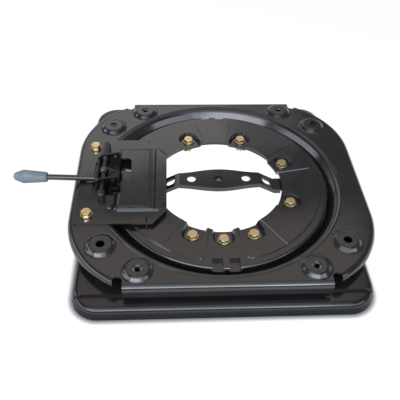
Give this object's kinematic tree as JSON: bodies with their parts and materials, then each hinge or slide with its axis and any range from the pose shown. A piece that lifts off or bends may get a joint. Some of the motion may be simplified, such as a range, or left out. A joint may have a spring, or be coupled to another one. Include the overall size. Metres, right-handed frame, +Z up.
{
  "type": "swivel seat base",
  "caption": "Pressed steel seat swivel for a camper: a base pan, a turning top plate with seat bosses, a bolted clamp ring with lock notches, and a lever latch with a grip.",
  "frame": {"origin": "on the swivel axis, in the plane that the rim of the base pan stands on", "axes": "+Z up along the swivel axis, +Y from the front edge with the low ledge towards the back, +X to the right, so that the lever points to -X"},
  "size_m": [0.5146, 0.427, 0.0645],
  "materials": {
    "black_steel": "glossy black dip coat",
    "yellow_zinc": "yellow zinc plated",
    "bright_zinc": "bright zinc plated",
    "spring_steel": "oiled spring wire",
    "glide_plastic": "smooth black acetal",
    "grip_plastic": "moulded blue grey plastic"
  },
  "bodies": {
    "base": {"base_pan": "black_steel", "clamp_ring": "black_steel", "ring_bolts": "yellow_zinc", "ring_washers": "yellow_zinc", "ring_nuts": "yellow_zinc", "lower_glide": "glide_plastic", "upper_glide": "glide_plastic", "cross_bar": "black_steel", "bar_weld_nut": "bright_zinc"},
    "top": {"top_plate": "black_steel", "seat_weld_nuts": "bright_zinc", "latch_cover": "black_steel", "cover_bolts": "yellow_zinc", "cover_washers": "yellow_zinc", "cover_nuts": "yellow_zinc", "pivot_pin": "bright_zinc", "pin_saddles": "black_steel", "pin_clips": "bright_zinc", "return_spring": "spring_steel"},
    "lever": {"latch_yoke": "black_steel", "lever_rod": "black_steel", "lever_grip": "grip_plastic"}
  },
  "joints": [
    {"name": "swivel", "type": "hinge", "parent": "base", "child": "top", "pos_m": [0, 0, 0.024], "axis": [0, 0, 1], "continuous": true},
    {"name": "latch_lever", "type": "hinge", "parent": "top", "child": "lever", "pos_m": [-0.171, 0.004, 0.052], "axis": [0, 1, 0], "range_deg": [0, 16], "stiffness_Nm_per_rad": 1, "springref_deg": 34.38}
  ]
}
